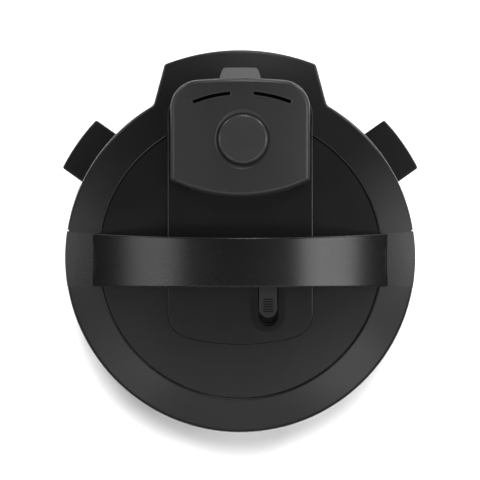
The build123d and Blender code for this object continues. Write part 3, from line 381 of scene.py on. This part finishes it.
# ---------------------------------------------------------------- hot plate and sensor
# The hot plate and the sensor cap are die-cast aluminium, sand-blasted and then
# faced on a lathe where they touch the pot.
def cast_metal(name, colour, rough, pits=0.6):
    """Cast metal with pits, a sandy skin and darker pores."""
    material, shader, place = start_material(name)
    sand = noise(place, 900.0, 4.0, 0.7)
    skin = noise(place, 120.0, 5.0, 0.65)
    broad = noise(place, 18.0, 3.0, 0.5)
    pore = (0.42 - skin).limited(0.0, 0.12) * 8.0
    darker = tuple(c * 0.55 for c in colour) + (1.0,)
    tone = (broad * 0.4 + sand * 0.3 - pore * 0.4 + 0.2).limited(0.0, 1.0)
    bump = place.node(
        "ShaderNodeBump", None, {"Strength": pits, "Distance": 0.0001, "Height": sand * 0.5 + skin - pore})
    connect(
        shader,
        Base_Color=tone.mixed(darker, tuple(colour) + (1.0,)),
        Metallic=1.0,
        Roughness=(sand * 0.15 + pore * 0.1 + (rough - 0.07)).limited(0.05, 1.0),
        Normal=bump,
    )
    return material


plate_casting = cast_metal("plate_casting", (0.62, 0.62, 0.63), 0.42)
finish_node(plate_casting, "heating_plate", "temperature_sensor")


# ---------------------------------------------------------------- springs and screws
# The springs are oil-tempered wire, drawn and dark; the two coil springs are smoothed
# copies that take the CAD coils' places. The screws are zinc plated, with the faint yellow and blue
# that the plating bath leaves, and the inlet's pins are plated brass.
def plated(name, colour, tint, rough):
    """Small plated hardware, clouded between two tints."""
    material, shader, place = start_material(name)
    cloud = noise(place, 260.0, 3.0, 0.6)
    fine = noise(place, 2200.0, 2.0, 0.5)
    bump = place.node("ShaderNodeBump", None, {"Strength": 0.3, "Distance": 0.00002, "Height": fine})
    connect(
        shader,
        Base_Color=(cloud * 1.6 - 0.3).limited(0.0, 1.0).mixed(tuple(colour) + (1.0,), tuple(tint) + (1.0,)),
        Metallic=1.0,
        Roughness=(cloud * 0.16 + (rough - 0.08)).limited(0.05, 1.0),
        Normal=bump,
    )
    return material


spring_wire = plated("spring_wire", (0.32, 0.32, 0.33), (0.42, 0.4, 0.38), 0.3)
finish_node(spring_wire, "hinge_springs")


def pressed_spring(name, node, body):
    """A welded, smoothed copy of a coil spring in spring wire, put on a body in the node's place."""
    weld_distance = 0.000002
    bpy.ops.object.select_all(action="DESELECT")
    nodes[node].select_set(True)
    bpy.context.view_layer.objects.active = nodes[node]
    bpy.ops.object.duplicate(linked=False)
    coil = bpy.context.object
    coil.name = name
    bpy.ops.object.parent_clear(type="CLEAR_KEEP_TRANSFORM")
    bpy.ops.object.transform_apply(location=True, rotation=True, scale=True)
    open_edit(coil)
    bpy.ops.mesh.remove_doubles(threshold=weld_distance)
    bpy.ops.mesh.normals_make_consistent(inside=False)
    bpy.ops.object.mode_set(mode="OBJECT")
    bpy.ops.object.shade_smooth_by_angle(angle=smooth_angle)
    coil.data.materials.clear()
    coil.data.materials.append(spring_wire)
    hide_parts(node)
    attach(coil, body)
    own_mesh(coil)
    return coil


pressed_spring("sensor_coil", "sensor_spring", "base")
pressed_spring("button_coil", "button_spring", "lid")
screw_plating = plated("screw_plating", (0.45, 0.47, 0.5), (0.55, 0.52, 0.42), 0.32)
finish_node(screw_plating, "casing_screws", "lid_hinge_screws", "handle_screws")
pin_plating = plated("pin_plating", (0.7, 0.55, 0.28), (0.6, 0.44, 0.2), 0.25)
finish_node(pin_plating, "inlet_pins")


# ---------------------------------------------------------------- silicone seals
# The lid's gasket is pressed milky silicone, and the float's seal is red. Both are
# matt, slightly oily to the eye, with fine press marks.
def silicone(name, colour, rough):
    """Pressed silicone rubber with a bloom and fine lines."""
    material, shader, place = start_material(name)
    bloom = noise(place, 45.0, 4.0, 0.6)
    fine = noise(place, 1100.0, 2.0, 0.5)
    bump = place.node("ShaderNodeBump", None, {"Strength": 0.3, "Distance": 0.00005, "Height": fine + bloom})
    paler = tuple(min(1.0, c * 1.15 + 0.02) for c in colour) + (1.0,)
    connect(
        shader,
        Base_Color=(bloom * 0.8 + fine * 0.2).limited(0.0, 1.0).mixed(tuple(colour) + (1.0,), paler),
        Roughness=(bloom * 0.2 + (rough - 0.1)).limited(0.1, 1.0),
        Normal=bump,
        Subsurface_Weight=0.25,
    )
    return material


gasket_rubber = silicone("gasket_rubber", (0.62, 0.62, 0.6), 0.5)
finish_node(gasket_rubber, "sealing_ring")
float_rubber = silicone("float_rubber", (0.42, 0.03, 0.025), 0.45)
finish_node(float_rubber, "float_seal")


# ---------------------------------------------------------------- drip cup
# The drip cup is thin smoky clear plastic, moulded in one piece and polished outside,
# so that the water in it shows.
cup_smoke, cup_shader, cup_place = start_material("cup_smoke")
cup_flow = noise(cup_place, 35.0, 3.0, 0.6)
cup_haze = noise(cup_place, 400.0, 3.0, 0.6)
connect(
    cup_shader,
    Base_Color=cup_flow.mixed((0.10, 0.10, 0.11, 1.0), (0.16, 0.16, 0.17, 1.0)),
    Roughness=(cup_haze * 0.12 + 0.1).limited(0.05, 1.0),
    Alpha=(cup_flow * 0.2 + 0.5).limited(0.0, 1.0),
    Normal=cup_place.node("ShaderNodeBump", None, {"Strength": 0.2, "Distance": 0.0001, "Height": cup_flow}),
)
finish_node(cup_smoke, "condensation_cup")


# ---------------------------------------------------------------- control panel
# The panel is a gloss black moulding with a smoked acrylic window and satin keys;
# wiping leaves faint smears in its gloss.
panel_gloss = moulded("panel_gloss", (0.008, 0.008, 0.009), 0.2, grain=0.08, scuff=0.5, coat=0.4)
finish_node(panel_gloss, "control_panel")
key_plastic = moulded("key_plastic", (0.03, 0.03, 0.031), 0.38, grain=0.3, scuff=0.5)
finish_node(
    key_plastic, "left_key_1", "left_key_2", "left_key_3", "right_key_1", "right_key_2", "right_key_3",
    "start_key")
window_acrylic = moulded("window_acrylic", (0.004, 0.004, 0.006), 0.08, grain=0.03, scuff=0.3, coat=1.0)
finish_node(window_acrylic, "display_window")


# ---------------------------------------------------------------- window frame and key signs
# A thin satin frame is pressed on round the window. Each key carries a plain printed
# sign, a plus, a bar or an arrow, in pale ink that stands a hair above the key.
def pale_ink():
    """Screen-printed ink: pale, matt and a little uneven."""
    material, shader, place = start_material("pale_ink")
    speck = noise(place, 900.0, 3.0, 0.6)
    cloud = noise(place, 120.0, 2.0, 0.5)
    connect(
        shader,
        Base_Color=(speck * 0.5 + cloud * 0.5).limited(0.0, 1.0).mixed(
            (0.42, 0.42, 0.42, 1.0), (0.62, 0.62, 0.61, 1.0)),
        Roughness=(cloud * 0.2 + 0.45).limited(0.05, 1.0),
        Normal=place.node("ShaderNodeBump", None, {"Strength": 0.2, "Distance": 0.00003, "Height": speck}),
    )
    return material


def ink_bars(name, key, x, z, bars, material):
    """Bars of ink on one key, each given as offset x, offset z, length, height and turn."""
    key_face = -0.1522
    ink_depth = 0.0003
    ink_edge = 0.00012
    made = []
    for shift_x, shift_z, length, height, turn in bars:
        bpy.ops.object.select_all(action="DESELECT")
        bpy.ops.mesh.primitive_cube_add(size=1.0, location=(0, 0, 0), scale=(length, ink_depth, height))
        bar = bpy.context.object
        bpy.ops.object.transform_apply(location=False, rotation=False, scale=True)
        open_edit(bar)
        bpy.ops.mesh.bevel(offset=ink_edge, segments=2)
        bpy.ops.object.mode_set(mode="OBJECT")
        bar.rotation_euler.y = math.radians(turn)
        bar.location = (x + shift_x, key_face, z + shift_z)
        bpy.ops.object.transform_apply(location=True, rotation=True, scale=True)
        bar.data.materials.append(material)
        made.append(bar)
    bpy.ops.object.select_all(action="DESELECT")
    for bar in made:
        bar.select_set(True)
    bpy.context.view_layer.objects.active = made[0]
    if len(made) > 1:
        bpy.ops.object.join()
    sign = bpy.context.object
    sign.name = name
    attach(sign, key)
    return sign


key_ink = pale_ink()
stroke = 0.0008
short_bar = 0.0042
long_bar = 0.0046
arrow_half = 0.0013
plus_sign = [(0, 0, short_bar, stroke, 0), (0, 0, stroke, short_bar, 0)]
minus_sign = [(0, 0, short_bar, stroke, 0)]
up_arrow = [(-arrow_half, 0, short_bar, stroke, -45), (arrow_half, 0, short_bar, stroke, 45)]
down_arrow = [(-arrow_half, 0, short_bar, stroke, 45), (arrow_half, 0, short_bar, stroke, -45)]
double_bar = [(0, 0.0011, long_bar, stroke, 0), (0, -0.0011, long_bar, stroke, 0)]
cross_sign = [(0, 0, long_bar, stroke, 45), (0, 0, long_bar, stroke, -45)]
start_sign = [
    (-0.0004, 0.0012, 0.0040, stroke, 30),
    (-0.0004, -0.0012, 0.0040, stroke, -30),
    (-0.0022, 0, stroke, 0.0050, 0),
]
key_column = 0.037
key_rows = (0.156, 0.130, 0.104)
start_height = 0.086
left_signs = (plus_sign, up_arrow, double_bar)
right_signs = (minus_sign, down_arrow, cross_sign)
for side, x, signs in (("left", -key_column, left_signs), ("right", key_column, right_signs)):
    for row, (height, bars) in enumerate(zip(key_rows, signs), 1):
        ink_bars(f"{side}_sign_{row}", f"{side}_key_{row}", x, height, bars, key_ink)
ink_bars("start_sign", "start_key", 0.0, start_height, start_sign, key_ink)

window_half_width = 0.024
window_half_height = 0.027
window_height = 0.130
frame_width = 0.0022
frame_corner = 0.003
frame_thickness = 0.0008
frame_rounding = 0.0003
panel_front = -0.1512
bpy.ops.object.select_all(action="DESELECT")
bpy.ops.mesh.primitive_plane_add(size=2.0, location=(0, 0, 0))
window_frame = bpy.context.object
window_frame.name = "window_frame"
window_frame.scale = (window_half_width + frame_width, window_half_height + frame_width, 1.0)
bpy.ops.object.transform_apply(location=False, rotation=False, scale=True)
open_edit(window_frame)
bpy.ops.mesh.bevel(offset=frame_corner, segments=5, affect="VERTICES")
bpy.ops.mesh.select_all(action="SELECT")
bpy.ops.mesh.inset(thickness=frame_width, depth=0.0)
bpy.ops.mesh.delete(type="FACE")
bpy.ops.object.mode_set(mode="OBJECT")
window_frame.rotation_euler.x = math.radians(90)
window_frame.location = (0.0, panel_front, window_height)
bpy.ops.object.transform_apply(location=True, rotation=True, scale=True)
frame_wall = window_frame.modifiers.new("wall", "SOLIDIFY")
frame_wall.thickness = frame_thickness
frame_wall.offset = 0.0
frame_edge = window_frame.modifiers.new("edge", "BEVEL")
frame_edge.width = frame_rounding
frame_edge.segments = 2
apply_all(window_frame)
bpy.ops.object.shade_smooth_by_angle(angle=smooth_angle)
window_frame.data.materials.append(key_plastic)
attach(window_frame, "base")


# ---------------------------------------------------------------- circuit boards
# The boards are glass-fibre laminate under green solder mask, with copper tracks that
# show through it as paler lines.
board_mask, board_shader, board_place = start_material("board_mask")
board_weave = noise(board_place, 1400.0, 2.0, 0.5, (1.0, 0.2, 1.0))
brick_black = (0, 0, 0, 1)
mortar_white = (1, 1, 1, 1)
board_tracks = board_place.node(
    "ShaderNodeTexBrick", {"offset": 0.5},
    {"Vector": board_place, "Scale": 160.0, "Mortar Size": 0.16, "Color1": brick_black,
     "Color2": brick_black, "Mortar": mortar_white})
board_patches = (noise(board_place, 70.0, 2.0, 0.5) - 0.45).limited(0.0, 0.1) * 10.0
board_lines = board_tracks * board_patches
connect(
    board_shader,
    Base_Color=(board_lines * 0.8 + board_weave * 0.2).limited(0.0, 1.0).mixed(
        (0.008, 0.09, 0.03, 1.0), (0.05, 0.24, 0.09, 1.0)),
    Roughness=(board_weave * 0.15 + 0.22).limited(0.05, 1.0),
    Normal=board_place.node(
        "ShaderNodeBump", None, {"Strength": 0.4, "Distance": 0.00006, "Height": board_lines}),
)
finish_node(board_mask, "control_board", "power_board")


# ---------------------------------------------------------------- floor, light and camera
# A white table under the cooker, a softbox on each side, a rear strip with two low strips
# beside it, and three weak lamps in front. A lamp almost straight above lights the table
# alone and leaves the cooker's own shadow on it.
bpy.ops.object.select_all(action="DESELECT")
bpy.ops.mesh.primitive_plane_add(size=12.0, location=(0, 0, 0))
floor = bpy.context.object
floor.name = "studio_floor"
floor_paint, floor_shader, floor_place = start_material("floor_paint")
connect(floor_shader, Base_Color=(0.88, 0.88, 0.88, 1.0), Roughness=0.9, Specular_IOR_Level=0.1)
floor.data.materials.append(floor_paint)

room_light = 0.02
world = bpy.data.worlds.new("studio")
bpy.context.scene.world = world
world.use_nodes = True
world.node_tree.nodes["Background"].inputs[0].default_value = (1.0, 1.0, 1.0, 1.0)
world.node_tree.nodes["Background"].inputs[1].default_value = room_light


lamp_reach = 2.4
lid_height = 0.27


def softbox(name, around, lean, width, height, brightness):
    """A soft lamp seen from the lid at an angle around and a lean off the vertical."""
    lamp = bpy.data.lights.new(name, "AREA")
    lamp.shape = "RECTANGLE"
    lamp.size = width
    lamp.size_y = height
    lamp.energy = brightness * width * height * math.pi
    holder = bpy.data.objects.new(name, lamp)
    bpy.context.scene.collection.objects.link(holder)
    turn = math.radians(around)
    tilt = math.radians(lean)
    way = Vector((math.sin(tilt) * math.cos(turn), math.sin(tilt) * math.sin(turn), math.cos(tilt)))
    holder.location = way * lamp_reach + Vector((0, 0, lid_height))
    holder.rotation_mode = "QUATERNION"
    holder.rotation_quaternion = way.to_track_quat("Z", "X")
    return holder


softbox("right_softbox", 4, 45, 1.2, 0.75, 5.4)
softbox("left_softbox", 176, 44, 1.1, 0.7, 3.2)
softbox("rear_strip", 86, 56, 1.0, 0.3, 13.0)
softbox("front_fill", -90, 34, 1.8, 0.7, 1.0)
softbox("front_right", -46, 27, 0.7, 0.5, 4.4)
softbox("front_left", -134, 27, 0.7, 0.5, 3.5)
softbox("low_rear_right", 48, 72, 1.0, 0.3, 13.0)
softbox("low_rear_left", 132, 72, 1.0, 0.3, 7.0)

table_brightness = 3.7
table_lamp_spread = math.radians(8.0)
table_lamp_lean = math.radians(-8.0)
table_lamp = bpy.data.lights.new("table_lamp", "SUN")
table_lamp.energy = table_brightness
table_lamp.angle = table_lamp_spread
table_holder = bpy.data.objects.new("table_lamp", table_lamp)
bpy.context.scene.collection.objects.link(table_holder)
table_holder.rotation_euler = (table_lamp_lean, 0.0, 0.0)
table_only = bpy.data.collections.new("table_only")
table_only.objects.link(floor)
table_holder.light_linking.receiver_collection = table_only

camera_distance = 4.5
lid_level = 0.262
view_width = 0.4531
view_centre_x = -0.0002
view_centre_y = 0.0163
sensor_width = 36.0
camera_data = bpy.data.cameras.new("camera")
camera_data.sensor_width = sensor_width
camera_data.lens = sensor_width * camera_distance / view_width
camera = bpy.data.objects.new("camera", camera_data)
camera.location = (view_centre_x, view_centre_y, lid_level + camera_distance)
bpy.context.scene.collection.objects.link(camera)
bpy.context.scene.camera = camera
bpy.context.scene.view_settings.view_transform = "Standard"
